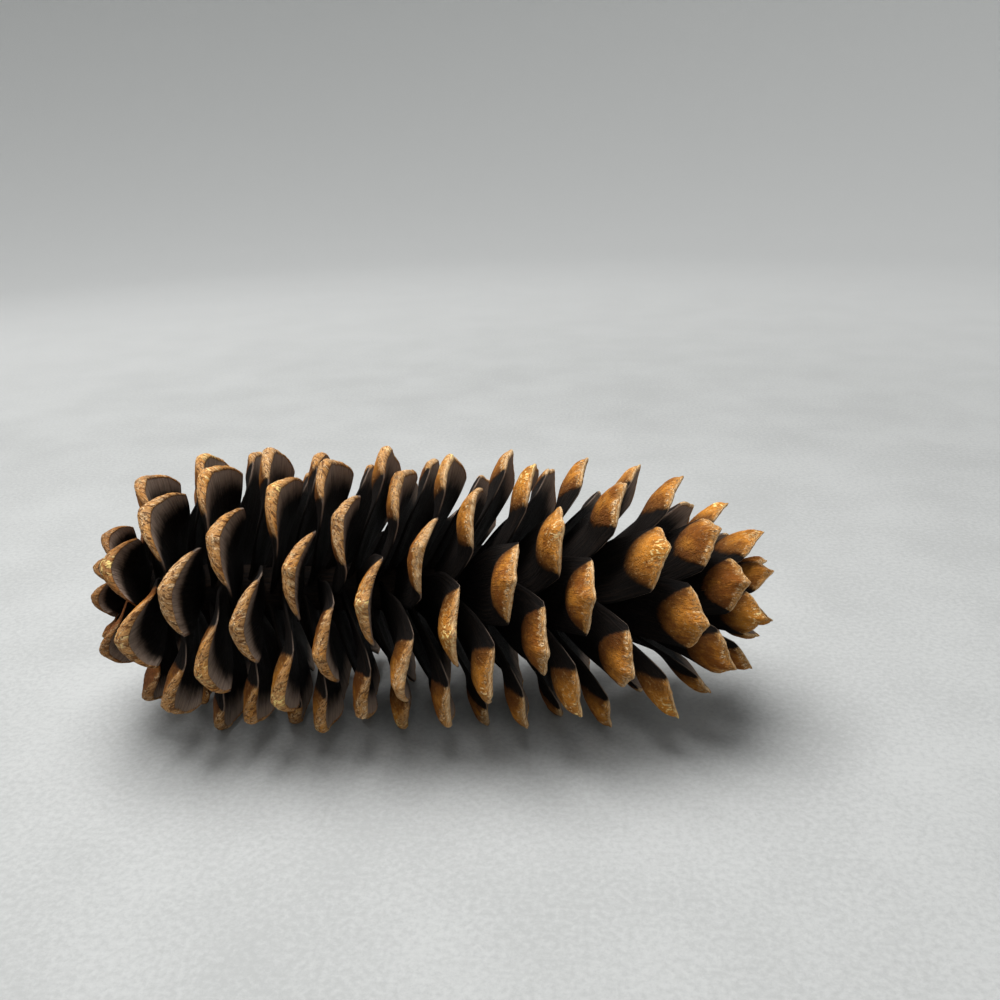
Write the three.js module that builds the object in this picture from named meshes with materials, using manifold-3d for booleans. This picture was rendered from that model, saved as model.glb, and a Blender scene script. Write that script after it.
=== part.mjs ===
// A dry, open pine cone lying on its side: woody scales in a golden-angle spiral on one axis.
// Millimetres, +Z up. The axis runs along X, from the stem stub at -X to the tip at +X.
import * as THREE from "three";
import { mergeVertices } from "three/addons/utils/BufferGeometryUtils.js";
import Module from "manifold-3d";

// Driving dimensions of the spiral
const SCALE_COUNT = 122;
const GOLDEN_ANGLE = 137.6; // degrees between one scale and the next
const FACING_SCALE = 58; // the scale whose place round the axis is given
const FACING_ANGLE = 75; // degrees above the horizontal front, -Y, at that scale
const RISE = 2.06; // along the axis from one scale to the next
const FIRST_ROOT = 0.1; // where the lowest scale leaves the axis
const CROWDED_RISES = 4.4; // rises lost where the lowest scales crowd together
const CROWDED_SPAN = 8; // how fast that crowding ends, in scales

// The cone's place: what lies at the origin, and how high the axis is above the surface
const MIDDLE = 134.4;
const AXIS_HEIGHT = 57.9;

// Sizes that change along the cone, as [share of the scales, value]: base first, tip last
const SCALE_LENGTH = [
  [0, 18], [0.05, 33], [0.1, 44], [0.17, 51], [0.3, 52], [0.5, 54], [0.61, 56],
  [0.75, 58.5], [0.82, 60], [0.87, 58], [0.92, 54], [0.96, 46], [1, 35],
];
const SCALE_WIDTH = [
  [0, 14], [0.05, 24], [0.1, 31], [0.17, 35], [0.4, 35], [0.5, 34], [0.6, 32.5],
  [0.7, 31], [0.8, 28], [0.9, 24], [0.95, 19], [1, 12],
];
const ROOT_TILT = [
  [0, 88], [0.13, 76], [0.3, 69], [0.4, 66], [0.5, 62], [0.61, 57],
  [0.75, 50], [0.82, 38], [0.87, 31], [0.92, 24], [0.96, 17], [1, 9],
];
const TIP_TILT = [
  [0, 106], [0.13, 94], [0.3, 88], [0.4, 85], [0.47, 82], [0.565, 77], [0.61, 73],
  [0.75, 66], [0.82, 54], [0.87, 45], [0.92, 36], [0.96, 27], [1, 16],
];
const CUP_DEPTH = [[0, 2.5], [0.06, 6], [0.1, 7.5], [0.18, 4.8], [0.35, 4], [0.6, 3.6], [0.8, 3.4], [1, 2]];
// How far the outer face swells, and the share of the thickness that is left at the very rim
const SWELL = [[0, 2.2], [0.1, 3.6], [0.3, 3.6], [0.55, 3.2], [0.8, 3], [1, 2]];
const BLUNTNESS = [[0, 0.88], [0.3, 0.84], [0.5, 0.66], [0.65, 0.32], [1, 0.24]];
// Power of the rim's outline, where 1 is a gable and 2 is round, and the blunt point in its middle
const ROUNDNESS = [[0, 1.9], [0.2, 1.7], [0.42, 1.25], [1, 1.12]];
const UMBO = [[0, 0.008], [0.3, 0.015], [0.5, 0.025], [1, 0.028]]; // as a share of the length

// One scale's own form
const ROOT_HALF_WIDTH = 5.4;
const ROOT_SUNK = 5; // how far the root reaches into the axis
const SHOULDER = 0.85; // where the rim meets the side edges, as a share of the length
const CORNER = 0.06; // how far the two corners of the rim are rounded off, as a share of the length
const WIDE_FROM = 0.52; // where the blade has its full width
const BLADE_HALF_THICKNESS = 1.25;
const ROOT_HALF_THICKNESS = 1.75;
const THIN_EDGE = 0.55; // share of the thickness that the side edges lose
const SWELL_FROM = 0.54; // the outer face swells from here
const SWELL_FULL = 0.78; // to here
const NOSE_FROM = 0.8; // from here the outer face rounds over to the rim
const TWIST = 6; // degrees by which the rim leans out of the cross plane

// Spread of the seeded draws, either way
const ANGLE_SPREAD = 3;
const LENGTH_SPREAD = 0.035;
const TILT_SPREAD = 3.5;
const TWIST_SPREAD = 6;

// Axis and stem stub, as [radius, place along the axis]
const AXIS_SIDES = 12;
const AXIS_PROFILE = [[0, -7], [5, -7], [4.6, -2], [10.5, 2], [9.4, 110], [7.6, 205], [4.4, 246], [0, 252]];

const wasm = await Module();
wasm.setup();

const radians = THREE.MathUtils.degToRad;
const smooth = (value, from, to) => THREE.MathUtils.smoothstep(value, from, to);

// Value of a list of [share, value] at a share, in straight lines
function along(list, share) {
  const next = list.findIndex(([at]) => at >= share);
  if (next <= 0) return list[0][1];
  const [[a, low], [b, high]] = [list[next - 1], list[next]];
  return THREE.MathUtils.mapLinear(share, a, b, low, high);
}

// A seeded draw from -1 to 1: each kind steps through its own even spread
const DRAW_STEPS = {
  angle: 0.7548776662,
  length: 0.569840291,
  tilt: 0.8191725134,
  twist: 0.6710436067,
};
function draw(kind, index) {
  const turns = (index + 1) * DRAW_STEPS[kind];
  return 2 * (turns - Math.floor(turns)) - 1;
}

function axisRadius(x) {
  const wall = AXIS_PROFILE.slice(3).map(([radius, at]) => [at, radius]);
  return along(wall, THREE.MathUtils.clamp(x, wall[0][0], wall[wall.length - 1][0]));
}

// The sizes and place of one scale
function scaleAt(index) {
  const share = index / (SCALE_COUNT - 1);
  const crowding = CROWDED_RISES * (1 - Math.exp(-index / CROWDED_SPAN));
  const root = FIRST_ROOT + RISE * (index - crowding);
  const lean = TILT_SPREAD * draw("tilt", index);
  const turn = (index - FACING_SCALE) * GOLDEN_ANGLE + ANGLE_SPREAD * draw("angle", index);
  const rootTilt = radians(along(ROOT_TILT, share));
  return {
    turn: radians(FACING_ANGLE + turn),
    rootTilt,
    tipTilt: radians(along(TIP_TILT, share) + lean),
    rootX: root - ROOT_SUNK * Math.cos(rootTilt),
    rootR: axisRadius(root) - ROOT_SUNK * Math.sin(rootTilt),
    length: ROOT_SUNK + along(SCALE_LENGTH, share) * (1 + LENGTH_SPREAD * draw("length", index)),
    halfWidth: along(SCALE_WIDTH, share) / 2,
    cup: along(CUP_DEPTH, share),
    swell: along(SWELL, share),
    blunt: along(BLUNTNESS, share),
    roundness: along(ROUNDNESS, share),
    umbo: along(UMBO, share),
    twist: radians(TWIST + TWIST_SPREAD * draw("twist", index)),
  };
}

// How far a line at v reaches along the scale: a blunt shield with a point in the middle
function reach(scale, v) {
  const point = scale.umbo * Math.min(1, 4 * Math.abs(v));
  const fall = (1 - SHOULDER - scale.umbo) * Math.abs(v) ** scale.roundness;
  return 1 - fall - CORNER * v ** 6 - point;
}

// A point of a scale: s from root to rim, v from edge to edge, side +1 inner face, -1 outer face
function scalePoint(scale, s, v, side) {
  const u = s * reach(scale, v);
  const bend = scale.tipTilt - scale.rootTilt;
  const tilt = scale.rootTilt + bend * u;
  const x = scale.rootX + (scale.length * (Math.sin(tilt) - Math.sin(scale.rootTilt))) / bend;
  const r = scale.rootR + (scale.length * (Math.cos(scale.rootTilt) - Math.cos(tilt))) / bend;
  const rootHalf = Math.min(ROOT_HALF_WIDTH, scale.halfWidth * 0.6);
  const across = v * THREE.MathUtils.lerp(rootHalf, scale.halfWidth, smooth(u, 0, WIDE_FROM));
  const size = Math.min(1, scale.length / SCALE_LENGTH[4][1]);
  const thinning = (1 - THIN_EDGE * v * v) * (0.5 + size / 2);
  const sturdy = 1 - smooth(u, 0, 0.4);
  const blade = thinning * THREE.MathUtils.lerp(BLADE_HALF_THICKNESS, ROOT_HALF_THICKNESS, sturdy);
  const swell = scale.swell * smooth(u, SWELL_FROM, SWELL_FULL) * (1 - v * v);
  const past = Math.max(0, s - NOSE_FROM) / (1 - NOSE_FROM);
  const blunt = THREE.MathUtils.lerp(scale.blunt, 1, v * v);
  const nose = Math.sqrt(1 - (1 - blunt ** 2) * past ** 2);
  const off = side > 0 ? blade : blade - (2 * blade + swell) * nose;
  const lift = scale.cup * v * v * smooth(u, 0.15, 0.9) + off;
  const twist = scale.twist * u;
  const sideways = across * Math.cos(twist) - lift * Math.sin(twist);
  const raised = across * Math.sin(twist) + lift * Math.cos(twist);
  const outwards = r - raised * Math.cos(tilt);
  return new THREE.Vector3(
    x + raised * Math.sin(tilt),
    -outwards * Math.cos(scale.turn) + sideways * Math.sin(scale.turn),
    outwards * Math.sin(scale.turn) + sideways * Math.cos(scale.turn),
  );
}

// Rows of a scale's mesh from root to rim, with the columns that each needs
const ROWS = [
  { s: 0, columns: [-1, 1] },
  { s: 0.48, columns: [-1, 0, 1] },
  { s: 0.88, columns: [-1, -0.6, 0, 0.6, 1] },
  { s: 1, columns: [-1, -0.6, 0, 0.6, 1] },
];

// One scale as a closed geometry: inner and outer face, the two side edges, the rim and the root
function scaleGeometry(scale) {
  const points = [];
  const triangles = [];
  const place = (s, v, side) => points.push(scalePoint(scale, s, v, side)) - 1;
  const rows = ROWS.map(({ s, columns }) => ({
    columns,
    inner: columns.map((v) => place(s, v, 1)),
    outer: columns.map((v) => place(s, v, -1)),
  }));
  const face = (a, b, c, flipped) => triangles.push(...(flipped ? [a, c, b] : [a, b, c]));
  const quad = (a, b, c, d) => triangles.push(a, b, c, a, c, d);
  const stitch = (low, high, lowAt, highAt, flipped) => {
    let [i, j] = [0, 0];
    while (i < low.length - 1 || j < high.length - 1) {
      const lowNext = i < low.length - 1 ? lowAt[i + 1] : Infinity;
      const highNext = j < high.length - 1 ? highAt[j + 1] : Infinity;
      if (lowNext <= highNext) face(low[i], low[++i], high[j], flipped);
      else face(low[i], high[j + 1], high[j++], flipped);
    }
  };
  for (let k = 0; k < rows.length - 1; k++) {
    const [low, high] = [rows[k], rows[k + 1]];
    stitch(low.inner, high.inner, low.columns, high.columns, false);
    stitch(low.outer, high.outer, low.columns, high.columns, true);
    quad(low.inner.at(-1), low.outer.at(-1), high.outer.at(-1), high.inner.at(-1));
    quad(low.outer[0], low.inner[0], high.inner[0], high.outer[0]);
  }
  const [root, rim] = [rows[0], rows.at(-1)];
  for (let k = 0; k < root.columns.length - 1; k++)
    quad(root.inner[k + 1], root.inner[k], root.outer[k], root.outer[k + 1]);
  for (let k = 0; k < rim.columns.length - 1; k++)
    quad(rim.inner[k], rim.inner[k + 1], rim.outer[k + 1], rim.outer[k]);
  return new THREE.BufferGeometry().setFromPoints(points).setIndex(triangles);
}

// The axis with its stem stub, turned from the lathe's Y to X
function axisGeometry() {
  const profile = AXIS_PROFILE.map(([radius, at]) => new THREE.Vector2(radius, at));
  return new THREE.LatheGeometry(profile, AXIS_SIDES).rotateZ(-Math.PI / 2);
}

// The space below the surface that the cone rests on, in the cone's own frame
function belowSurface() {
  const size = 4 * MIDDLE;
  return new THREE.BoxGeometry(size, size, size).translate(MIDDLE, 0, -AXIS_HEIGHT - size / 2);
}

function solidOf(geometry) {
  const bare = geometry.clone();
  bare.deleteAttribute("normal");
  bare.deleteAttribute("uv");
  const merged = mergeVertices(bare, 1e-4);
  return new wasm.Manifold(
    new wasm.Mesh({
      numProp: 3,
      vertProperties: new Float32Array(merged.attributes.position.array),
      triVerts: new Uint32Array(merged.index.array),
    }),
  );
}

function geometryOf(solid) {
  const { vertProperties, triVerts } = solid.getMesh();
  const geometry = new THREE.BufferGeometry();
  geometry.setAttribute("position", new THREE.BufferAttribute(vertProperties, 3));
  geometry.setIndex(new THREE.BufferAttribute(triVerts, 1));
  geometry.computeVertexNormals();
  return geometry;
}

// All scales fused to the axis, with a small flat spot where the lowest tips rest.
// Only the outer body is kept, so a hollow that scales close off is solid.
function coneGeometry() {
  let cone = solidOf(axisGeometry());
  for (let index = 0; index < SCALE_COUNT; index++) cone = cone.add(solidOf(scaleGeometry(scaleAt(index))));
  const bodies = cone.subtract(solidOf(belowSurface())).decompose();
  return geometryOf(bodies.reduce((a, b) => (a.volume() > b.volume() ? a : b)));
}

const bark = new THREE.MeshStandardMaterial({ color: 0x8a5a26, roughness: 0.75, metalness: 0 });
const pineCone = new THREE.Mesh(coneGeometry(), bark);
pineCone.name = "pine_cone";
pineCone.position.set(-MIDDLE, 0, AXIS_HEIGHT);

const object = new THREE.Group();
object.add(pineCone);
export default object;
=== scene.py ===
"""A dry, open pine cone lying on its side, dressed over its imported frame.

The classes hold lengths in millimetres and angles in degrees, and the meshes are in metres.
The axis runs along X, from the stem stub at -X to the tip at +X, and the cone rests on z = 0.
"""

import logging
import math
from dataclasses import dataclass, field
from enum import Enum
from typing import Iterable, Sequence, Union

import bpy
import numpy as np
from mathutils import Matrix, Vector, noise

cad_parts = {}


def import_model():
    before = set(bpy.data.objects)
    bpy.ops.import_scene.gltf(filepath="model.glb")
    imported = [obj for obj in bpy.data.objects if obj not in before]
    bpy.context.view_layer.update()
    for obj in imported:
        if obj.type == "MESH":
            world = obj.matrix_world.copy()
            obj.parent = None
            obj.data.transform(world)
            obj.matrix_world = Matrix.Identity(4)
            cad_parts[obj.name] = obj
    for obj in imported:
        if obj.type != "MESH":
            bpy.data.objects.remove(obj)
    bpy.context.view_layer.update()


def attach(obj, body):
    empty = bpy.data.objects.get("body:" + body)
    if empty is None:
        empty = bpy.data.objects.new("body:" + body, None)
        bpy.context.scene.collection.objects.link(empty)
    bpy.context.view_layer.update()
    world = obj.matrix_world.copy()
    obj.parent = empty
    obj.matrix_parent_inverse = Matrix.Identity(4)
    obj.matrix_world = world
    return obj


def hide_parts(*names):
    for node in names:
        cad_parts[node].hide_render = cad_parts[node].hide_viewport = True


LOG = logging.getLogger("pine_cone")
MM = 0.001
BODY = "root"
NODE = "pine_cone"

Span = tuple[float, float]
Keys = Sequence[Span]
Colour = tuple[float, float, float]
Place = tuple[float, float, float]


class Stretch(Enum):
    """The three stretches of the cone that are each one mesh, as shares of its scales."""

    LOWER = ("lower_scales", 0.0, 1 / 3)
    MIDDLE = ("middle_scales", 1 / 3, 2 / 3)
    UPPER = ("upper_scales", 2 / 3, 1.0)

    @property
    def piece_name(self) -> str:
        """The name of the stretch's mesh object."""
        return self.value[0]

    def indices(self, count: int, stunted: int) -> range:
        """The scales of this stretch.

        Args:
            count: How many full scales the whole cone has.
            stunted: How many stunted ones crowd below them at the stem.

        Returns:
            Their numbers, counted from the lowest full scale, with stunted ones below 0.
        """
        first, last = (round(part * (count + stunted)) - stunted for part in self.value[1:])
        return range(first, last)


class Draw(Enum):
    """What is drawn for each scale, with the step of its even, seeded spread."""

    ANGLE = 0.7548776662
    LENGTH = 0.569840291
    TILT = 0.8191725134
    TWIST = 0.6710436067
    TINT = 0.5497004779
    GRAIN = 0.8566748839

    def at(self, index: np.ndarray) -> np.ndarray:
        """One draw from -1 to 1 for each scale number."""
        return 2 * np.mod((index + 1) * self.value, 1.0) - 1


# Node sheets


class Field:
    """One socket of a node tree that joins others with plain arithmetic."""

    def __init__(self, sheet: "NodeSheet", socket: bpy.types.NodeSocket) -> None:
        """Wraps an output socket of a sheet."""
        self.sheet = sheet
        self.socket = socket

    def __add__(self, other: "Value") -> "Field":
        """Sum."""
        return self.sheet.math("ADD", self, other)

    __radd__ = __add__

    def __sub__(self, other: "Value") -> "Field":
        """Difference."""
        return self.sheet.math("SUBTRACT", self, other)

    def __rsub__(self, other: "Value") -> "Field":
        """Difference from a plain number."""
        return self.sheet.math("SUBTRACT", other, self)

    def __mul__(self, other: "Value") -> "Field":
        """Product."""
        return self.sheet.math("MULTIPLY", self, other)

    __rmul__ = __mul__

    def __truediv__(self, other: "Value") -> "Field":
        """Quotient."""
        return self.sheet.math("DIVIDE", self, other)

    def __neg__(self) -> "Field":
        """The value with its sign turned."""
        return self.sheet.math("MULTIPLY", self, -1.0)

    def __pow__(self, power: float) -> "Field":
        """The value to a power."""
        return self.sheet.math("POWER", self, power)

    def __abs__(self) -> "Field":
        """The value without its sign."""
        return self.sheet.math("ABSOLUTE", self)


Value = Union[Field, float, Sequence[float]]


class NodeSheet:
    """A node tree that is written as formulas, for geometry or for a material."""

    def __init__(self, tree: bpy.types.NodeTree) -> None:
        """Takes the tree to write into."""
        self.tree = tree

    def node(self, kind: str, **settings: object) -> bpy.types.Node:
        """Adds a node.

        Args:
            kind: The node's Blender type name.
            **settings: Properties of the node to set.

        Returns:
            The new node.
        """
        made = self.tree.nodes.new(kind)
        for name, value in settings.items():
            setattr(made, name, value)
        return made

    def put(self, value: Value, socket: bpy.types.NodeSocket) -> None:
        """Links a field to an input socket, or sets the socket to a plain value.

        Args:
            value: What the socket takes.
            socket: The input socket.
        """
        if isinstance(value, Field):
            self.tree.links.new(value.socket, socket)
        else:
            socket.default_value = value

    def run(self, node: bpy.types.Node, output: Union[str, int] = 0, **values: Value) -> Field:
        """Fills a node's inputs by name and gives one of its outputs.

        Args:
            node: The node to fill.
            output: The output's name or number.
            **values: Input values, with spaces in the names written as underscores.

        Returns:
            The output as a field.
        """
        for name, value in values.items():
            self.put(value, node.inputs[name.replace("_", " ")])
        return Field(self, node.outputs[output])

    def math(self, operation: str, *values: Value) -> Field:
        """A Math node on one to three values.

        Args:
            operation: The node's operation.
            *values: What it works on, in order.

        Returns:
            The result.
        """
        made = self.node("ShaderNodeMath", operation=operation)
        for value, socket in zip(values, made.inputs):
            self.put(value, socket)
        return Field(self, made.outputs[0])

    def smooth(self, value: Value, low: Value, high: Value) -> Field:
        """A smooth step from 0 at low to 1 at high."""
        made = self.node("ShaderNodeMapRange", interpolation_type="SMOOTHSTEP")
        return self.run(made, 0, Value=value, From_Min=low, From_Max=high)

    def blend(self, share: Value, low: Value, high: Value) -> Field:
        """A straight blend from low to high."""
        made = self.node("ShaderNodeMix", data_type="FLOAT")
        return self.run(made, 0, Factor=share, A=low, B=high)

    def hump(self, value: Value, width: float) -> Field:
        """A round hump, 1 where the value is 0 and falling off over a width."""
        scaled = self.math("DIVIDE", value, width)
        return self.math("EXPONENT", -(scaled * scaled))

    def vector(self, x: Value, y: Value, z: Value) -> Field:
        """Three numbers as one vector."""
        return self.run(self.node("ShaderNodeCombineXYZ"), 0, X=x, Y=y, Z=z)

    def noise(self, place: Field, scale: float, detail: float = 2.0, rough: float = 0.5) -> Field:
        """Cloudy noise from 0 to 1 about 0.5.

        Args:
            place: Where to read it.
            scale: Clouds per unit of place.
            detail: How many finer layers it has.
            rough: How strong the finer layers are.

        Returns:
            The noise value.
        """
        made = self.node("ShaderNodeTexNoise")
        return self.run(made, 0, Vector=place, Scale=scale, Detail=detail, Roughness=rough)


class GrowthSheet(NodeSheet):
    """A Geometry Nodes tree with named inputs for its sizes."""

    def __init__(self, name: str) -> None:
        """Makes an empty tree with a geometry input and output.

        Args:
            name: The tree's name.
        """
        super().__init__(bpy.data.node_groups.new(name, "GeometryNodeTree"))
        self.tree.interface.new_socket("Geometry", in_out="INPUT", socket_type="NodeSocketGeometry")
        self.tree.interface.new_socket("Geometry", in_out="OUTPUT", socket_type="NodeSocketGeometry")
        self.entry = self.node("NodeGroupInput")
        self.leave = self.node("NodeGroupOutput")
        self.identifiers: dict[str, str] = {}

    def size(self, name: str, kind: str = "NodeSocketFloat") -> Field:
        """Adds a named input to the tree.

        Args:
            name: The input's name.
            kind: Its socket type.

        Returns:
            The input as a field.
        """
        made = self.tree.interface.new_socket(name, in_out="INPUT", socket_type=kind)
        self.identifiers[name] = made.identifier
        return Field(self, self.entry.outputs[name])

    def attribute(self, name: str) -> Field:
        """A named number that each point carries."""
        made = self.node("GeometryNodeInputNamedAttribute", data_type="FLOAT")
        return self.run(made, "Attribute", Name=name)

    def store(self, geometry: Field, name: str, value: Field) -> Field:
        """Writes a named number on each point of a geometry."""
        made = self.node("GeometryNodeStoreNamedAttribute", data_type="FLOAT", domain="POINT")
        return self.run(made, 0, Geometry=geometry, Name=name, Value=value)


class BarkSheet(NodeSheet):
    """A material's node tree with its shader ready to be filled."""

    def __init__(self, name: str) -> None:
        """Makes a material with one principled shader.

        Args:
            name: The material's name.
        """
        self.material = bpy.data.materials.new(name)
        self.material.use_nodes = True
        super().__init__(self.material.node_tree)
        self.shader = self.tree.nodes["Principled BSDF"]

    def attribute(self, name: str) -> Field:
        """A named number of the surface."""
        made = self.node("ShaderNodeAttribute", attribute_name=name)
        return Field(self, made.outputs["Fac"])

    def place(self) -> Field:
        """The point in the piece's own coordinates, in metres."""
        return Field(self, self.node("ShaderNodeTexCoord").outputs["Object"])

    def tint(self, share: Value, low: Union[Field, Colour], high: Union[Field, Colour]) -> Field:
        """A blend of two colours.

        Args:
            share: How much of the second there is, from 0 to 1.
            low: The first colour.
            high: The second colour.

        Returns:
            The blended colour.
        """
        made = self.node("ShaderNodeMix", data_type="RGBA")
        sockets = [s for s in made.inputs if s.type == "RGBA"]
        self.put(share, made.inputs[0])
        for colour, socket in zip((low, high), sockets):
            self.put(colour if isinstance(colour, Field) else (*colour, 1.0), socket)
        return Field(self, next(s for s in made.outputs if s.type == "RGBA"))

    def raise_surface(self, height: Field, depth: float, strength: float = 1.0) -> None:
        """Turns a height into the shader's bump.

        Args:
            height: The height, in steps of the depth.
            depth: How deep a height of 1 is, in metres.
            strength: How much of the bump shows.
        """
        made = self.node("ShaderNodeBump")
        normal = self.run(made, 0, Height=height, Distance=depth, Strength=strength)
        self.put(normal, self.shader.inputs["Normal"])


# The cone's form


@dataclass(frozen=True)
class ScaleSpiral:
    """Where each scale leaves the axis and how big it is, from the stem end to the tip."""

    count: int = 122
    stunted: int = 10
    golden_angle: float = 137.6
    facing_scale: int = 58
    facing_angle: float = 75.0
    rise: float = 2.06
    first_root: float = 0.1
    crowded_rises: float = 4.4
    crowded_span: float = 8.0
    middle: float = 134.4
    axis_height: float = 57.9
    root_sunk: float = 5.0
    full_length: float = 52.0
    angle_spread: float = 3.0
    length_spread: float = 0.035
    tilt_spread: float = 3.5
    twist: float = 6.0
    twist_spread: float = 6.0
    length: Keys = (
        (-0.08, 8), (0, 18), (0.05, 33), (0.1, 44), (0.17, 51), (0.3, 52), (0.5, 54), (0.61, 56),
        (0.75, 58.5), (0.82, 60), (0.87, 58), (0.92, 54), (0.96, 46), (1, 35),
    )
    width: Keys = (
        (-0.08, 8), (0, 14), (0.05, 24), (0.1, 31), (0.17, 35), (0.4, 35), (0.5, 34), (0.6, 32.5),
        (0.7, 31), (0.8, 28), (0.9, 24), (0.95, 19), (1, 12),
    )
    root_tilt: Keys = (
        (-0.08, 96), (0, 88), (0.13, 76), (0.3, 69), (0.4, 66), (0.5, 62), (0.61, 57),
        (0.75, 50), (0.82, 38), (0.87, 31), (0.92, 24), (0.96, 17), (1, 9),
    )
    tip_tilt: Keys = (
        (-0.08, 128), (0, 106), (0.13, 94), (0.3, 88), (0.4, 85), (0.47, 82), (0.565, 77), (0.61, 73),
        (0.75, 66), (0.82, 54), (0.87, 45), (0.92, 36), (0.96, 27), (1, 16),
    )
    cup: Keys = ((0, 2.5), (0.06, 6), (0.1, 7.5), (0.18, 4.8), (0.35, 4), (0.6, 3.6), (0.8, 3.4), (1, 2))
    swell: Keys = ((0, 2.2), (0.1, 3.6), (0.3, 3.6), (0.55, 3.2), (0.8, 3), (1, 2))
    blunt: Keys = ((0, 0.88), (0.3, 0.84), (0.5, 0.66), (0.65, 0.32), (1, 0.24))
    roundness: Keys = ((0, 1.9), (0.2, 1.7), (0.42, 1.25), (1, 1.12))
    umbo: Keys = ((0, 0.008), (0.3, 0.015), (0.5, 0.025), (1, 0.028))
    axis_wall: Keys = ((2, 10.5), (110, 9.4), (205, 7.6), (246, 4.4), (252, 0))

    def draws(self, numbers: Iterable[int]) -> dict[str, np.ndarray]:
        """Works out each scale's own sizes.

        Args:
            numbers: The scales wanted, counted from the stem end.

        Returns:
            One array for each named size, in millimetres and radians.
        """
        index = np.array(list(numbers), float)
        share = index / (self.count - 1)
        root = self.first_root + self.rise * (
            index - self.crowded_rises * (1 - np.exp(-index / self.crowded_span))
        )
        turn = self.facing_angle + (index - self.facing_scale) * self.golden_angle
        turn = np.radians(turn + self.angle_spread * Draw.ANGLE.at(index))
        root_tilt = np.radians(np.interp(share, *zip(*self.root_tilt)))
        tip_tilt = np.interp(share, *zip(*self.tip_tilt)) + self.tilt_spread * Draw.TILT.at(index)
        length = np.interp(share, *zip(*self.length)) * (1 + self.length_spread * Draw.LENGTH.at(index))
        length = length + self.root_sunk
        return {
            "turn": np.mod(turn, 2 * math.pi),
            "root_tilt": root_tilt,
            "tip_tilt": np.radians(tip_tilt),
            "root_x": root - self.root_sunk * np.cos(root_tilt) - self.middle,
            "root_r": np.interp(root, *zip(*self.axis_wall)) - self.root_sunk * np.sin(root_tilt),
            "length": length,
            "half_width": np.interp(share, *zip(*self.width)) / 2,
            "cup": np.interp(share, *zip(*self.cup)),
            "swell": np.interp(share, *zip(*self.swell)),
            "blunt": np.interp(share, *zip(*self.blunt)),
            "roundness": np.interp(share, *zip(*self.roundness)),
            "umbo": np.interp(share, *zip(*self.umbo)),
            "twist": np.radians(self.twist + self.twist_spread * Draw.TWIST.at(index)),
            "size": np.minimum(1, length / self.full_length),
            "share": share,
            "tint": Draw.TINT.at(index),
            "grain": Draw.GRAIN.at(index),
        }


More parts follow.
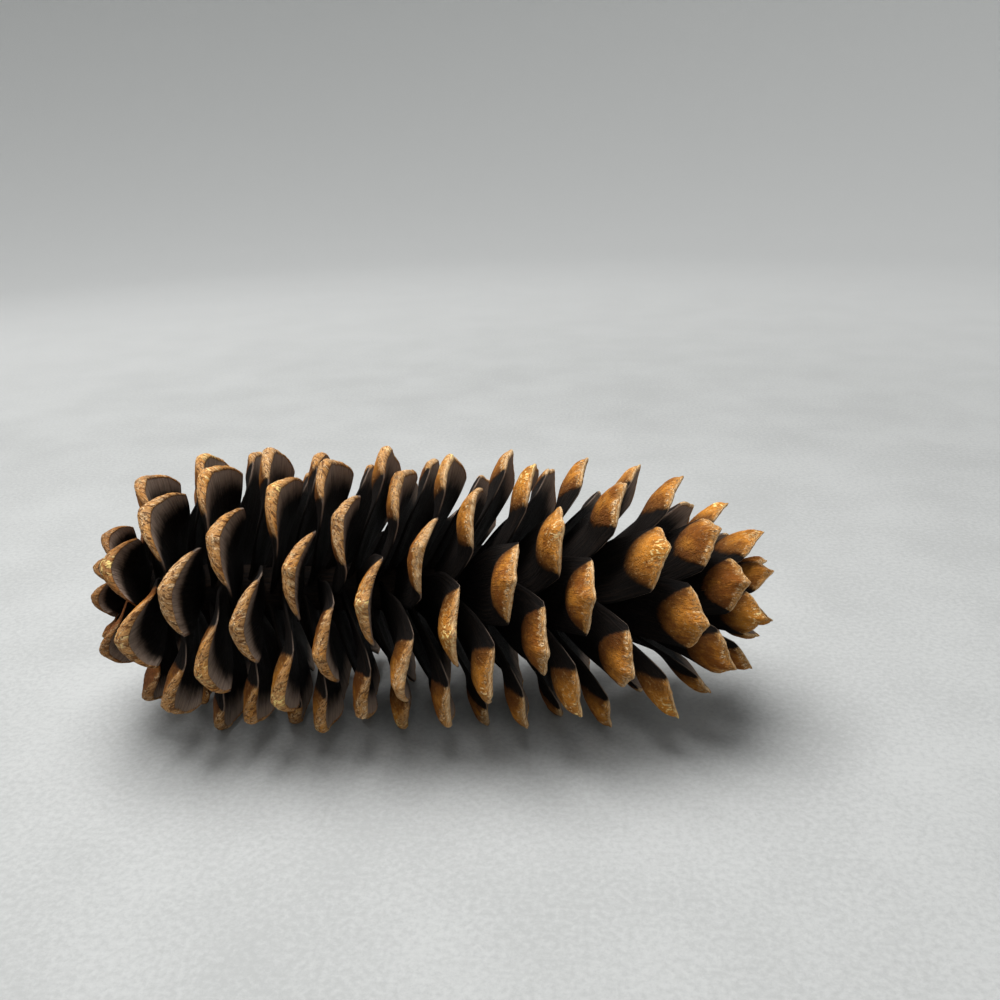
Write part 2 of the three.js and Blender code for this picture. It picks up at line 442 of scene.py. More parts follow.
@dataclass(frozen=True)
class ScaleForm:
    """One scale's form, and the Geometry Nodes tree that grows it on every point of the spiral.

    Spans and shares run from the root at 0 to the rim at 1, and widths from the middle at 0 to
    an edge at 1. Cells and waves count the bumps of a noise along or across one scale.
    """

    root_half_width: float = 8.0
    shoulder: float = 0.85
    corner: float = 0.06
    root_share: float = 0.6
    wide_from: float = 0.52
    blade_half_thickness: float = 1.25
    root_half_thickness: float = 1.75
    root_span: Span = (0.0, 0.4)
    thin_edge: float = 0.55
    swell_from: float = 0.54
    swell_full: float = 0.78
    nose_from: float = 0.8
    nub_height: float = 0.4
    nub_width: float = 0.2
    nub_span: Span = (0.84, 0.94)
    rim_rounding: float = 0.02
    rim_power: float = 14
    edge_rounding: float = 0.03
    chip_depth: float = 0.026
    chip_waves: float = 2.6
    fray_depth: float = 0.018
    fray_waves: float = 9.0
    crust_depth: float = 0.02
    crust_waves: float = 6.5
    knob_height: float = 0.8
    knob_cells: Span = (22.0, 7.0)
    knob_span: Span = (0.66, 0.82)
    waviness: float = 1.1
    wave_cells: Span = (2.4, 1.5)
    wave_span: Span = (0.15, 0.6)
    cup_span: Span = (0.15, 0.9)
    hollow_depth: float = 0.5
    hollow_middle: float = 0.45
    hollow_width: float = 0.24
    hollow_start: Span = (0.14, 0.22)
    hollow_stop: Span = (0.42, 0.56)
    grain_spread: float = 61.0
    cells: tuple[int, int, int] = (30, 31, 5)
    rim_packing: float = 1.3

    KEPT = ("along", "across", "face", "rim", "share", "tint", "grain")

    def sizes(self) -> dict[str, float]:
        """The tree's named inputs and their values."""
        return {
            "Root half width": self.root_half_width,
            "Shoulder": self.shoulder,
            "Corner": self.corner,
            "Wide from": self.wide_from,
            "Blade half thickness": self.blade_half_thickness,
            "Root half thickness": self.root_half_thickness,
            "Thin edge": self.thin_edge,
            "Swell from": self.swell_from,
            "Swell full": self.swell_full,
            "Nose from": self.nose_from,
            "Rim rounding": self.rim_rounding,
            "Edge rounding": self.edge_rounding,
            "Chip depth": self.chip_depth,
            "Fray depth": self.fray_depth,
            "Crust depth": self.crust_depth,
            "Knob height": self.knob_height,
            "Waviness": self.waviness,
            "Hollow depth": self.hollow_depth,
        }

    def sheet(self) -> GrowthSheet:
        """Builds the tree that turns spiral points into scales.

        Returns:
            The sheet, with its inputs' identifiers.
        """
        sheet = GrowthSheet("grow_scales")
        size = {name: sheet.size(name) for name in self.sizes()}
        height = sheet.size("Axis height")
        bark = sheet.size("Bark", "NodeSocketMaterial")
        scale = self._instances(sheet)
        place, marks = self._shape(sheet, size, height)
        for name, value in marks.items():
            scale = sheet.store(scale, name, value)
        moved = sheet.run(sheet.node("GeometryNodeSetPosition"), 0, Geometry=scale, Position=place)
        soft = sheet.run(sheet.node("GeometryNodeSetShadeSmooth"), 0, Geometry=moved)
        whole = sheet.run(sheet.node("GeometryNodeRealizeInstances"), 0, Geometry=soft)
        dressed = sheet.run(sheet.node("GeometryNodeSetMaterial"), 0, Geometry=whole, Material=bark)
        sheet.put(dressed, sheet.leave.inputs[0])
        return sheet

    def _instances(self, sheet: GrowthSheet) -> Field:
        """A closed block of cells on every point, made real and marked with its own s, v and w.

        Args:
            sheet: The tree to write into.

        Returns:
            All the blocks as one mesh.
        """
        block = sheet.node("GeometryNodeMeshCube")
        for name, cells in zip("XYZ", self.cells):
            block.inputs[f"Vertices {name}"].default_value = cells
        # The bend into a scale mirrors the block, so its faces start turned round.
        mesh = sheet.run(sheet.node("GeometryNodeFlipFaces"), 0, Mesh=sheet.run(block, "Mesh"))
        parts = sheet.node("ShaderNodeSeparateXYZ")
        sheet.put(Field(sheet, sheet.node("GeometryNodeInputPosition").outputs[0]), parts.inputs[0])
        even = Field(sheet, parts.outputs["X"]) + 0.5
        mesh = sheet.store(mesh, "rim", 1 - (1 - even) ** self.rim_packing)
        mesh = sheet.store(mesh, "across", Field(sheet, parts.outputs["Y"]) * 2)
        mesh = sheet.store(mesh, "face", Field(sheet, parts.outputs["Z"]) * 2)
        points = Field(sheet, sheet.entry.outputs["Geometry"])
        placed = sheet.run(sheet.node("GeometryNodeInstanceOnPoints"), 0, Points=points, Instance=mesh)
        return sheet.run(sheet.node("GeometryNodeRealizeInstances"), 0, Geometry=placed)

    def _shape(
        self, sheet: GrowthSheet, size: dict[str, Field], height: Field
    ) -> tuple[Field, dict[str, Field]]:
        """Bends a block into a scale.

        Args:
            sheet: The tree to write into.
            size: The tree's named sizes.
            height: How high the axis is above the surface.

        Returns:
            Each point's place in metres, and the marks that the bark reads.
        """
        s, v, w = (sheet.attribute(name) for name in ("rim", "across", "face"))
        own = {
            name: sheet.attribute(name)
            for name in (
                "turn", "root_tilt", "tip_tilt", "root_x", "root_r", "length", "half_width", "cup", "swell",
                "blunt", "roundness", "umbo", "twist", "size", "grain",
            )
        }
        grain = own["grain"] * self.grain_spread
        square = v * v
        rounded = (1 - size["Shoulder"] - own["umbo"]) * sheet.math("POWER", abs(v), own["roundness"])
        rounded = rounded + size["Corner"] * square**3 + own["umbo"] * (1 - sheet.hump(v, self.nub_width))
        chips = sheet.vector(v * self.chip_waves, grain, w * 0.15)
        chips = sheet.noise(chips, 1.0, 2.0, 0.5) - 0.5
        frays = sheet.vector(v * self.fray_waves, grain + 7.0, w * 0.4)
        frays = sheet.noise(frays, 1.0, 2.0, 0.6) - 0.5
        crust = sheet.vector(v * self.crust_waves, grain + 13.0, w * 1.3)
        crust = sheet.noise(crust, 1.0, 2.0, 0.6) - 0.5
        ragged = size["Chip depth"] * chips + size["Fray depth"] * frays + size["Crust depth"] * crust
        reach = 1 - rounded + ragged
        u = s * reach * (1 - size["Rim rounding"] * w * w * s**self.rim_power)
        bend = own["tip_tilt"] - own["root_tilt"]
        tilt = own["root_tilt"] + bend * u
        sin_tilt, cos_tilt = sheet.math("SINE", tilt), sheet.math("COSINE", tilt)
        arc = own["length"] / bend
        x = own["root_x"] + arc * (sin_tilt - sheet.math("SINE", own["root_tilt"]))
        r = own["root_r"] + arc * (sheet.math("COSINE", own["root_tilt"]) - cos_tilt)
        root_half = sheet.math("MINIMUM", size["Root half width"], own["half_width"] * self.root_share)
        half = sheet.blend(sheet.smooth(u, 0.0, size["Wide from"]), root_half, own["half_width"])
        across = v * half * (1 - size["Edge rounding"] * w * w * square**3)
        lift = self._lift(sheet, size, own, (s, u, v, w), grain)
        twist = own["twist"] * u
        sin_twist, cos_twist = sheet.math("SINE", twist), sheet.math("COSINE", twist)
        sideways = across * cos_twist - lift * sin_twist
        raised = across * sin_twist + lift * cos_twist
        outwards = r - raised * cos_tilt
        sin_turn, cos_turn = sheet.math("SINE", own["turn"]), sheet.math("COSINE", own["turn"])
        y = sideways * sin_turn - outwards * cos_turn
        z = sheet.math("MAXIMUM", height + outwards * sin_turn + sideways * cos_turn, 0.0)
        place = sheet.vector((x + raised * sin_tilt) * MM, y * MM, z * MM)
        return place, {"along": u}

    def _lift(
        self,
        sheet: GrowthSheet,
        size: dict[str, Field],
        own: dict[str, Field],
        spot: tuple[Field, Field, Field, Field],
        grain: Field,
    ) -> Field:
        """How far a point stands off the scale's middle sheet, towards the tip of the cone.

        Args:
            sheet: The tree to write into.
            size: The tree's named sizes.
            own: The scale's own sizes.
            spot: The point's s, u, v and w.
            grain: The scale's own place in the noise.

        Returns:
            The height in millimetres.
        """
        s, u, v, w = spot
        square = v * v
        thinning = (1 - size["Thin edge"] * square) * (own["size"] * 0.5 + 0.5)
        thick, thin = size["Root half thickness"], size["Blade half thickness"]
        blade = sheet.blend(sheet.smooth(u, *self.root_span), thick, thin) * thinning
        swell = own["swell"] * sheet.smooth(u, size["Swell from"], size["Swell full"]) * (1 - square)
        past = sheet.math("MAXIMUM", s - size["Nose from"], 0.0) / (1 - size["Nose from"])
        blunt = sheet.blend(square, own["blunt"], 1.0)
        nose = sheet.math("SQRT", 1 - (1 - blunt * blunt) * past * past)
        nub = self.nub_height * sheet.hump(v, self.nub_width) * sheet.smooth(s, *self.nub_span)
        hollows = sheet.smooth(u, *self.hollow_start) * (1 - sheet.smooth(u, *self.hollow_stop))
        hollows = hollows * sheet.hump(abs(v) - self.hollow_middle, self.hollow_width)
        inner = blade - size["Hollow depth"] * hollows
        outer = blade - (2 * blade + swell + nub) * nose
        skin = outer + (inner - outer) * (w * 0.5 + 0.5)
        waves = sheet.vector(u * self.wave_cells[0], v * self.wave_cells[1], grain)
        waves = sheet.noise(waves, 1.0, 2.0, 0.45) - 0.5
        knobs = sheet.vector(u * self.knob_cells[0], v * self.knob_cells[1], grain + 3.0)
        knobs = sheet.noise(knobs, 1.0, 2.0, 0.6) - 0.5
        knobs = size["Knob height"] * knobs * sheet.smooth(u, *self.knob_span) * (0.5 - w * 0.5)
        cup = own["cup"] * square * sheet.smooth(u, *self.cup_span)
        return cup + skin + knobs + size["Waviness"] * waves * sheet.smooth(u, *self.wave_span)


# Finishes


@dataclass(frozen=True)
class ScaleBark:
    """The bark of the scales: ochre ends, a pale worn rim, dark blades and grey inner faces, with painted
    shade that takes the blades and the inner faces away from the rim to near black.

    The patterns follow the marks on each scale. Spans give where a pattern comes in and is full.
    """

    umber: Colour = (0.07, 0.023, 0.005)
    ochre_deep: Colour = (0.175, 0.055, 0.007)
    ochre: Colour = (0.455, 0.176, 0.022)
    straw: Colour = (0.69, 0.42, 0.165)
    speck: Colour = (0.07, 0.028, 0.01)
    pit_red: Colour = (0.095, 0.034, 0.013)
    cork: Colour = (0.34, 0.18, 0.06)
    tan: Colour = (0.45, 0.26, 0.12)
    cream: Colour = (0.78, 0.56, 0.32)
    resin: Colour = (0.8, 0.6, 0.2)
    base_dark: Colour = (0.075, 0.024, 0.008)
    base_red: Colour = (0.21, 0.072, 0.022)
    # The blades are dark brown in their own colour, taken almost to black as painted shade deep among the
    # scales.
    blade: Colour = (0.003, 0.0022, 0.0018)
    blade_brown: Colour = (0.0095, 0.0058, 0.004)
    inner_grey: Colour = (0.3, 0.225, 0.175)
    # Where the end begins, as a share of the scale's length
    end_from: float = 0.66
    end_arch: float = 0.2
    end_blur: float = 0.016
    stem_end_drop: float = 0.5
    shadow_span: Span = (0.0, 0.2)

    # From the outer face at -1 to the inner face at 1
    edge_face: Span = (-0.8, 0.3)
    inner_face: Span = (-0.2, 0.9)
    inner_skin: Span = (0.9, 0.99)

    # From the root at 0 to the rim at 1
    # Inside this span the grey inner face fades towards the root into painted shade.
    unshaded_grey_rim: Span = (0.74, 0.94)
    crust_rim: Span = (0.84, 0.97)
    worn_rim: Span = (0.95, 1.0)
    inner_rim: Span = (0.97, 0.988)
    bright_edge: Span = (0.988, 0.998)

    # From the lowest full scale at 0 to the highest at 1
    stem_reds: Span = (0.04, 0.14)
    stem_ends: Span = (0.05, 0.16)
    corky_lips: Span = (0.35, 0.7)
    edged_scales: Span = (0.4, 0.62)

    # Cells of the noises along and across one scale
    grain_cells: Span = (50, 16)
    streak_cells: Span = (5, 26)
    band_cells: Span = (40, 4.5)
    grain_spread: float = 60

    crust_width: float = 0.3
    blade_roughness: float = 0.8
    end_roughness: float = 0.76
    specular: float = 0.09
    relief: float = 0.0009
    relief_strength: float = 0.9

    def material(self) -> bpy.types.Material:
        """Builds the material from the marks on the scales.

        Returns:
            The finished material.
        """
        sheet = BarkSheet("scale_bark")
        mark = {name: sheet.attribute(name) for name in ScaleForm.KEPT}
        along, across, face, rim = (mark[name] for name in ("along", "across", "face", "rim"))
        noises = self._noises(sheet, mark)
        cloud, mottle, fine, streak, band, pit = noises.values()
        inside = sheet.smooth(face, *self.inner_face)
        border = across * across * self.end_arch + self.end_from
        border = border + (cloud - 0.5) * 0.08 + (streak - 0.5) * 0.05
        border = border - (1 - sheet.smooth(mark["share"], *self.stem_ends)) * self.stem_end_drop
        fading = sheet.smooth(cloud + mark["tint"] * 0.15, 0.35, 0.65) * 0.05 + 0.012
        outer_end = sheet.smooth(along - border, -fading, self.end_blur)
        inner_end = sheet.smooth(rim + (mottle - 0.5) * 0.03, *self.inner_rim)
        end = sheet.blend(sheet.smooth(face, *self.inner_skin), outer_end, inner_end)
        ends = self._ends(sheet, noises, mark, along - border)
        # Blade colour: the blades' own dark brown darkened to near black with painted shade.
        dark = sheet.tint(sheet.smooth(streak, 0.4, 0.72), self.blade, self.blade_brown)
        # Painted shade: the inner face keeps its grey only near the rim and fades deeper in to the
        # near-black blade, where neighbouring scales shade it.
        unshaded_rim = sheet.smooth(rim + (streak - 0.5) * 0.05 + (cloud - 0.5) * 0.14, *self.unshaded_grey_rim)
        dark = sheet.tint(inside * unshaded_rim * sheet.smooth(streak, -0.2, 0.75), dark, self.inner_grey)
        sheet.put(sheet.tint(end, dark, ends), sheet.shader.inputs["Base Color"])
        rough = sheet.blend(end, self.blade_roughness, self.end_roughness) + (mottle - 0.5) * 0.3
        sheet.put(rough, sheet.shader.inputs["Roughness"])
        sheet.shader.inputs["Specular IOR Level"].default_value = self.specular
        grit = band * 0.4 + mottle * 0.5 + fine * 0.5 + streak * 0.45
        grit = grit - sheet.smooth(pit, 0.54, 0.64) * 0.35 + outer_end * (1 - inside) * 0.4
        height = sheet.blend(end, streak * 0.8 + mottle * 0.3, grit)
        sheet.raise_surface(height, self.relief, self.relief_strength)
        return sheet.material

    def _noises(self, sheet: BarkSheet, mark: dict[str, Field]) -> dict[str, Field]:
        """The noises that the bark's patterns share, each with its own grain for every scale.

        Args:
            sheet: The material's sheet.
            mark: The marks on the scales.

        Returns:
            Large clouds, mottling, fine grain, streaks along a scale, bands across it and pits.
        """
        along, across, face = (mark[name] for name in ("along", "across", "face"))
        grain = mark["grain"] * self.grain_spread
        length, width = self.grain_cells
        flat = sheet.vector(along * length + face * 2.5, across * width, grain)
        length, width = self.streak_cells
        lines = sheet.vector(along * length, across * width, grain + face * 2)
        length, width = self.band_cells
        bands = sheet.vector(along * length + face * 3, across * width, grain)
        return {
            "cloud": sheet.noise(flat, 0.16, 3.0, 0.6),
            "mottle": sheet.noise(flat, 0.7, 3.0, 0.65),
            "fine": sheet.noise(flat, 2.4, 2.0, 0.6),
            "streak": sheet.noise(lines, 1.0, 3.0, 0.6),
            "band": sheet.noise(bands, 1.0, 3.0, 0.65),
            "pit": sheet.noise(flat, 0.8, 2.0, 0.55),
        }

    def _ends(
        self, sheet: BarkSheet, noises: dict[str, Field], mark: dict[str, Field], past: Field
    ) -> Field:
        """The colour of a scale's weathered end.

        Args:
            sheet: The material's sheet.
            noises: The noises that the patterns share.
            mark: The marks on the scales.
            past: How far the point is past the border of the dark blade.

        Returns:
            The colour.
        """
        cloud, mottle, fine, streak, *_ = noises.values()
        tint, across, rim, face, share = (mark[name] for name in ("tint", "across", "rim", "face", "share"))
        shade = sheet.smooth(cloud + tint * 0.13 + (streak - 0.5) * 0.55 + (mottle - 0.5) * 0.3, 0.33, 0.67)
        colour = sheet.tint(shade, self.ochre_deep, self.ochre)
        shadow = 1 - sheet.smooth(past + (cloud - 0.5) * 0.1, *self.shadow_span)
        colour = sheet.tint(shadow * 0.85, colour, self.umber)
        colour = sheet.tint(sheet.smooth(mottle + tint * 0.04, 0.57, 0.76) * 0.4, colour, self.straw)
        colour = sheet.tint(sheet.smooth(streak, 0.55, 0.68) * 0.35, colour, self.umber)
        worn = sheet.smooth(rim + (mottle - 0.5) * 0.1, *self.worn_rim)
        colour = sheet.tint(worn * 0.9, colour, self._lip(sheet, noises, tint, share))
        low = 1 - sheet.smooth(share + (cloud - 0.5) * 0.06, *self.stem_reds)
        streaked = sheet.smooth(streak * 0.6 + mottle * 0.4, 0.38, 0.62)
        base = sheet.tint(streaked, self.base_red, self.base_dark)
        colour = sheet.tint(low * (0.85 - worn * 0.4), colour, base)
        specks = sheet.smooth(fine + (mottle - 0.5) * 0.6, 0.53, 0.64)
        colour = sheet.tint(specks * (worn * 0.35 + 0.5), colour, self.speck)
        edge = sheet.smooth(rim, *self.bright_edge) * sheet.smooth(face, *self.edge_face)
        edge = edge * sheet.smooth(share, *self.edged_scales) * sheet.smooth(mottle, 0.3, 0.6)
        colour = sheet.tint(edge * 0.8, colour, self.cream)
        crust = sheet.hump(across, self.crust_width) * sheet.smooth(rim, *self.crust_rim)
        crust = crust * (sheet.smooth(tint, 0.1, 0.6) * 0.88 + 0.12)
        colour = sheet.tint(crust * sheet.smooth(mottle, 0.52, 0.62) * 0.75, colour, self.cream)
        return sheet.tint(crust * sheet.smooth(mottle + tint * 0.12, 0.64, 0.7) * 0.9, colour, self.resin)

    def _lip(self, sheet: BarkSheet, noises: dict[str, Field], tint: Field, share: Field) -> Field:
        """The colour of a scale's worn, pitted lip, which is corky low on the cone.

        Args:
            sheet: The material's sheet.
            noises: The noises that the patterns share.
            tint: The scale's own tint.
            share: The scale's place on the cone.

        Returns:
            The colour.
        """
        cloud, mottle, fine, _, band, pit = noises.values()
        corky = 1 - sheet.smooth(share, *self.corky_lips)
        colour = sheet.tint(sheet.smooth(band + tint * 0.06, 0.38, 0.6), self.cork, self.ochre)
        colour = sheet.tint(corky * sheet.smooth(cloud, 0.3, 0.6) * 0.7, colour, self.tan)
        colour = sheet.tint(sheet.smooth(band * 0.6 + fine * 0.4, 0.5, 0.64), colour, self.straw)
        pale = sheet.smooth(mottle + (cloud - 0.5) * 0.3 - tint * 0.05, 0.53, 0.66)
        colour = sheet.tint(pale * 0.9, colour, self.cream)
        pits = sheet.smooth(pit + (mottle - 0.5) * 0.3, 0.51, 0.61)
        return sheet.tint(pits * (corky * 0.45 + 0.4), colour, self.pit_red)


@dataclass(frozen=True)
class AxisWood:
    """The fibrous wood of the axis, dark brown with painted shade that takes it to near black, and the torn
    end of the stem stub.
    """

    # The wood's own dark brown, taken down to near black as painted shade for the axis deep among the
    # scales.
    dark: Colour = (0.005, 0.0035, 0.003)
    brown: Colour = (0.016, 0.0095, 0.006)
    stub: Colour = (0.16, 0.085, 0.045)
    stub_from: float = -137.4
    stub_fade: float = 2.0
    stub_raggedness: float = 4.0
    fibres_along: float = 120
    fibres_round: float = 900
    clouds: float = 90
    roughness: float = 0.8
    specular: float = 0.1
    relief: float = 0.0008

    def material(self) -> bpy.types.Material:
        """Builds the material.

        Returns:
            The finished material.
        """
        sheet = BarkSheet("axis_wood")
        parts = sheet.node("ShaderNodeSeparateXYZ")
        sheet.put(sheet.place(), parts.inputs[0])
        x, y, z = (Field(sheet, parts.outputs[k]) for k in range(3))
        lines = sheet.vector(x * self.fibres_along, y * self.fibres_round, z * self.fibres_round)
        fibres = sheet.noise(lines, 1.0, 4.0, 0.6)
        cloud = sheet.noise(sheet.vector(x, y, z), self.clouds, 3.0, 0.5)
        # Near-black fibres: the dark brown wood with painted shade.
        colour = sheet.tint(sheet.smooth(fibres + (cloud - 0.5) * 0.5, 0.35, 0.7), self.dark, self.brown)
        torn = sheet.smooth(fibres + (cloud - 0.5) * 0.4, 0.3, 0.65) * 0.7 + 0.3
        ragged = x + (cloud - 0.5) * self.stub_raggedness * MM
        first, last = self.stub_from - self.stub_fade, self.stub_from + self.stub_fade
        bare = 1 - sheet.smooth(ragged, first * MM, last * MM)
        colour = sheet.tint(bare * torn, colour, self.stub)
        sheet.put(colour, sheet.shader.inputs["Base Color"])
        sheet.put(self.roughness + (fibres - 0.5) * 0.3, sheet.shader.inputs["Roughness"])
        sheet.shader.inputs["Specular IOR Level"].default_value = self.specular
        sheet.raise_surface(fibres + cloud * 0.5, self.relief)
        return sheet.material


@dataclass(frozen=True)
class PaleFloor:
    """The pale matte floor, with painted light that makes it paler far from the middle."""

    light: Colour = (0.312, 0.317, 0.312)
    shade: Colour = (0.264, 0.269, 0.264)
    # Painted light: the floor and wall turn paler far from the middle, where the lamps light them less.
    far: Colour = (0.8, 0.81, 0.8)
    far_painted_light_span: Span = (0.4, 1.7)
    clouds: float = 14.0
    naps: float = 420.0
    roughness: float = 0.9
    nap_height: float = 0.0006
    nap_strength: float = 0.5

    def material(self) -> bpy.types.Material:
        """Builds the material.

        Returns:
            The finished material.
        """
        sheet = BarkSheet("pale_floor")
        place = sheet.place()
        cloud = sheet.noise(place, self.clouds, 3.0, 0.5)
        nap = sheet.noise(place, self.naps, 3.0, 0.6)
        colour = sheet.tint(sheet.smooth(cloud * 0.4 + nap * 0.6, 0.35, 0.65), self.shade, self.light)
        parts = sheet.node("ShaderNodeSeparateXYZ")
        sheet.put(place, parts.inputs[0])
        x, y = (Field(sheet, parts.outputs[k]) for k in range(2))
        # Painted light that grows with the distance from the middle, making up for the lamps' fall-off.
        distance = sheet.math("SQRT", x * x + y * y)
        colour = sheet.tint(sheet.smooth(distance, *self.far_painted_light_span), colour, self.far)
        sheet.put(colour, sheet.shader.inputs["Base Color"])
        sheet.shader.inputs["Roughness"].default_value = self.roughness
        sheet.raise_surface(nap, self.nap_height, self.nap_strength)
        return sheet.material


# Pieces


def plain_object(name: str, mesh: bpy.types.Mesh) -> bpy.types.Object:
    """Puts a mesh in the scene at the origin.

    Args:
        name: The object's name.
        mesh: Its mesh, already in place.

    Returns:
        The object.
    """
    made = bpy.data.objects.new(name, mesh)
    bpy.context.scene.collection.objects.link(made)
    return made


@dataclass
class ConeScales:
    """All the scales, grown stretch by stretch from the spiral."""

    spiral: ScaleSpiral = field(default_factory=ScaleSpiral)
    form: ScaleForm = field(default_factory=ScaleForm)
    bark: ScaleBark = field(default_factory=ScaleBark)

    def build(self) -> list[bpy.types.Object]:
        """Grows every stretch and makes it part of the object.

        Returns:
            The stretches' objects.
        """
        sheet = self.form.sheet()
        bark = self.bark.material()
        made = [self._grow(stretch, sheet, bark) for stretch in Stretch]
        for piece in made:
            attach(piece, BODY)
            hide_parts(NODE)
        return made

    def _grow(self, stretch: Stretch, sheet: GrowthSheet, bark: bpy.types.Material) -> bpy.types.Object:
        """Grows one stretch as a plain mesh.

        Args:
            stretch: Which stretch.
            sheet: The tree that grows the scales.
            bark: The scales' material.

        Returns:
            The stretch's object.
        """
        points = self._points(stretch)
        seedling = plain_object("seedling", points)
        grower = seedling.modifiers.new("grow", "NODES")
        grower.node_group = sheet.tree
        for name, value in self.form.sizes().items():
            grower[sheet.identifiers[name]] = value
        grower[sheet.identifiers["Axis height"]] = self.spiral.axis_height
        grower[sheet.identifiers["Bark"]] = bark
        graph = bpy.context.evaluated_depsgraph_get()
        mesh = bpy.data.meshes.new_from_object(
            seedling.evaluated_get(graph), preserve_all_data_layers=True, depsgraph=graph
        )
        seedling.modifiers.remove(grower)
        bpy.data.objects.remove(seedling)
        bpy.data.meshes.remove(points)
        mesh.name = stretch.piece_name
        for name in self.spiral.draws([0]):
            if name not in self.form.KEPT:
                mesh.attributes.remove(mesh.attributes[name])
        return plain_object(stretch.piece_name, mesh)

    def _points(self, stretch: Stretch) -> bpy.types.Mesh:
        """One point for each scale of a stretch, carrying its sizes.

        Args:
            stretch: Which stretch.

        Returns:
            The points as a mesh with no faces.
        """
        draws = self.spiral.draws(stretch.indices(self.spiral.count, self.spiral.stunted))
        mesh = bpy.data.meshes.new("seeds")
        mesh.vertices.add(len(draws["turn"]))
        for name, values in draws.items():
            numbers = mesh.attributes.new(name, "FLOAT", "POINT").data
            numbers.foreach_set("value", values.astype(np.float32))
        return mesh


@dataclass
class ConeAxis:
    """The axis that carries the scales, with the stem stub at its lower end."""

    spiral: ScaleSpiral = field(default_factory=ScaleSpiral)
    wood: AxisWood = field(default_factory=AxisWood)
    profile: Keys = (
        (-7, 4.8), (-5.5, 5.0), (-2, 4.6), (2, 10.3), (110, 9.3), (205, 7.5), (246, 4.3), (250.5, 1.6),
    )
    rings: int = 120
    sides: int = 48
    stem_packing: float = 1.25
    stub_dish: float = 0.6
    tip_rise: float = 1.0
    ripple: float = 0.45
    ripples_along: float = 0.12
    ripples_round: float = 2.2
    full_ripple_radius: float = 3.0

    def build(self) -> bpy.types.Object:
        """Turns the profile round the axis and roughens it.

        Returns:
            The axis's object.
        """
        first, last = self.profile[0][0], self.profile[-1][0]
        stations = np.linspace(0, 1, self.rings) ** self.stem_packing * (last - first) + first
        radii = np.interp(stations, *zip(*self.profile))
        vertices = [self._point(x, r, k) for x, r in zip(stations, radii) for k in range(self.sides)]
        faces = []
        for ring in range(self.rings - 1):
            for k in range(self.sides):
                a, b = ring * self.sides + k, ring * self.sides + (k + 1) % self.sides
                faces.append((a, b, b + self.sides, a + self.sides))
        start = len(vertices)
        vertices += [self._point(first + self.stub_dish, 0, 0), self._point(last + self.tip_rise, 0, 0)]
        top = (self.rings - 1) * self.sides
        for k in range(self.sides):
            following = (k + 1) % self.sides
            faces.append((start, following, k))
            faces.append((start + 1, top + k, top + following))
        mesh = bpy.data.meshes.new("cone_axis")
        mesh.from_pydata(vertices, [], faces)
        mesh.validate()
        mesh.shade_smooth()
        mesh.materials.append(self.wood.material())
        made = plain_object("cone_axis", mesh)
        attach(made, BODY)
        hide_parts(NODE)
        return made

    def _point(self, x: float, radius: float, side: int) -> Vector:
        """A roughened point of the axis, in metres.

        Args:
            x: Its place along the cone.
            radius: The axis's radius there.
            side: Which side of the ring it is on.

        Returns:
            The point in the part's frame.
        """
        turn = 2 * math.pi * side / self.sides
        y, z = math.cos(turn), math.sin(turn)
        spot = Vector((x * self.ripples_along, y * self.ripples_round, z * self.ripples_round))
        swollen = radius + min(1.0, radius / self.full_ripple_radius) * self.ripple * noise.noise(spot)
        return Vector((x - self.spiral.middle, y * swollen, z * swollen + self.spiral.axis_height)) * MM


@dataclass(frozen=True)
class SoftLight:
    """A square soft light, in metres and watts."""

    name: str
    place: Place
    target: Place
    size: float
    power: float

    def build(self) -> None:
        """Hangs the light and turns it to its target."""
        lamp = bpy.data.lights.new(self.name, "AREA")
        lamp.shape, lamp.size, lamp.energy = "SQUARE", self.size, self.power
        made = bpy.data.objects.new(self.name, lamp)
        made.location = self.place
        aim = Vector(self.target) - Vector(self.place)
        made.rotation_euler = aim.to_track_quat("-Z", "Y").to_euler()
        bpy.context.scene.collection.objects.link(made)


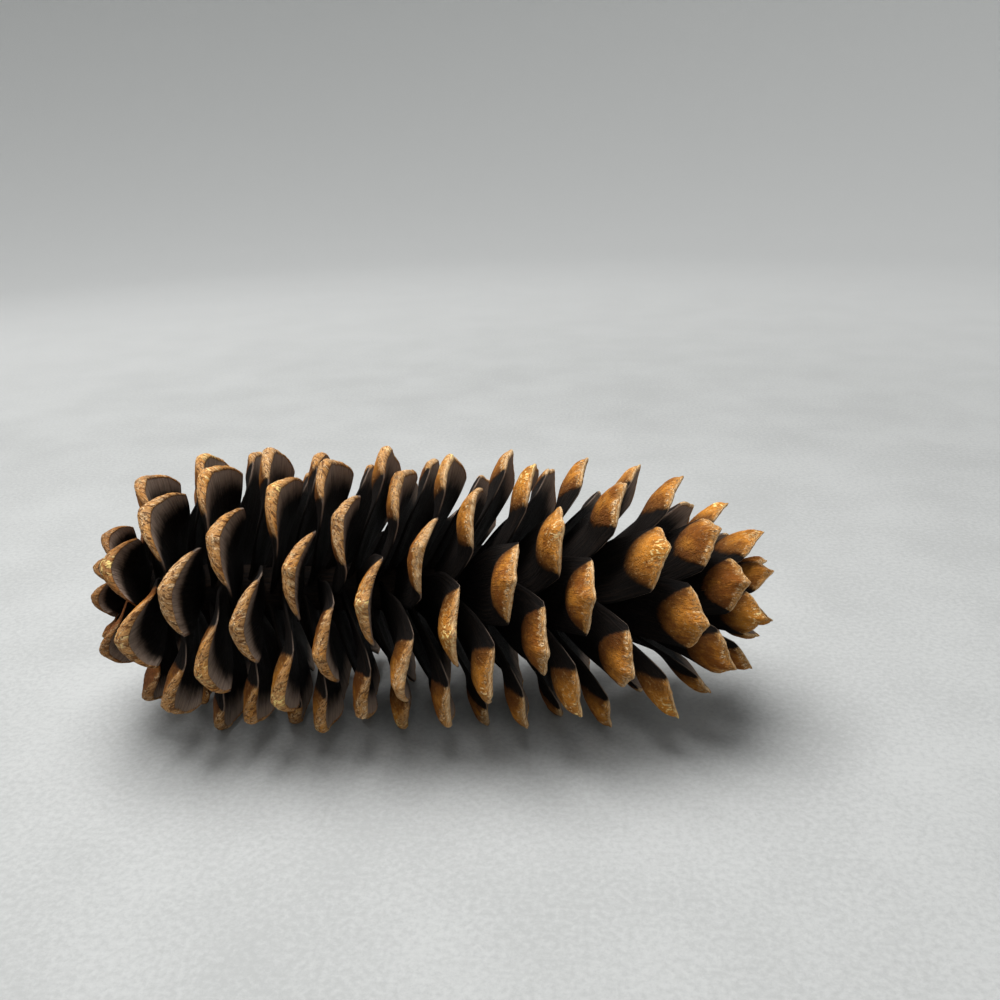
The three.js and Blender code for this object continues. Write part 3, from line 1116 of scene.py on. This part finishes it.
@dataclass
class Studio:
    """The floor, the lights and the camera, in metres and degrees."""

    floor: PaleFloor = field(default_factory=PaleFloor)
    lights: tuple[SoftLight, ...] = (
        SoftLight("top_light", (-0.2, 0.1, 1.2), (0.0, 0.0, 0.05), 0.9, 34.5),
        SoftLight("front_fill", (0.3, -1.1, 1.0), (0.05, 0.0, 0.05), 0.8, 3.5),
    )
    camera_place: Place = (0.0665, -0.3847, 0.2473)
    camera_turn: Place = (68.99, 1.84, 4.78)
    lens: float = 36.1
    sensor: float = 36.0
    clip_start: float = 0.01
    sky: Colour = (0.8, 0.82, 0.85)
    sky_strength: float = 0.17
    floor_sides: int = 96
    floor_rings: int = 24
    cove_rings: int = 14
    floor_middle: float = 0.05
    floor_reach: float = 1.5
    cove: float = 0.9
    wall: float = 1.5

    def build(self) -> None:
        """Sets the stage."""
        self._floor()
        for light in self.lights:
            light.build()
        self._camera()
        world = bpy.data.worlds.new("soft_sky")
        world.use_nodes = True
        background = world.node_tree.nodes["Background"]
        background.inputs["Color"].default_value = (*self.sky, 1.0)
        background.inputs["Strength"].default_value = self.sky_strength
        bpy.context.scene.world = world
        bpy.context.scene.view_settings.view_transform = "Standard"

    def _floor(self) -> None:
        """A wide round floor that curves up into a low wall far from the object."""
        flat = np.geomspace(self.floor_middle, self.floor_reach, self.floor_rings)
        bend = np.linspace(0, math.pi / 2, self.cove_rings)[1:]
        reach = np.concatenate([flat, self.floor_reach + self.cove * np.sin(bend)])
        reach = np.append(reach, reach[-1])
        rise = np.concatenate([0 * flat, self.cove * (1 - np.cos(bend)), [self.wall]])
        sides = self.floor_sides
        turns = np.linspace(0, 2 * math.pi, sides, endpoint=False)
        vertices = [(r * math.cos(t), r * math.sin(t), z) for r, z in zip(reach, rise) for t in turns]
        faces = [tuple(range(sides))]
        for start in range(0, len(vertices) - sides, sides):
            for k in range(sides):
                following = (k + 1) % sides
                inner, outer = start, start + sides
                faces.append((inner + k, outer + k, outer + following, inner + following))
        mesh = bpy.data.meshes.new("floor")
        mesh.from_pydata(vertices, [], faces)
        mesh.shade_smooth()
        mesh.materials.append(self.floor.material())
        plain_object("floor", mesh)

    def _camera(self) -> None:
        """The camera at the photograph's height, angle and distance."""
        eye = bpy.data.cameras.new("camera")
        eye.lens, eye.sensor_width = self.lens, self.sensor
        eye.clip_start = self.clip_start
        made = bpy.data.objects.new("camera", eye)
        made.location = self.camera_place
        made.rotation_euler = [math.radians(a) for a in self.camera_turn]
        bpy.context.scene.collection.objects.link(made)
        bpy.context.scene.camera = made


def triangles(piece: bpy.types.Object) -> int:
    """How many triangles a mesh object has."""
    return sum(len(face.vertices) - 2 for face in piece.data.polygons)


def main() -> None:
    """Builds the cone on its frame, sets the stage and notes the sizes."""
    logging.basicConfig(level=logging.INFO, format="%(name)s: %(message)s")
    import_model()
    Studio().build()
    pieces: list[bpy.types.Object] = [ConeAxis().build(), *ConeScales().build()]
    for piece in pieces:
        LOG.info("%s has %d triangles", piece.name, triangles(piece))


if __name__ == "__main__":
    main()
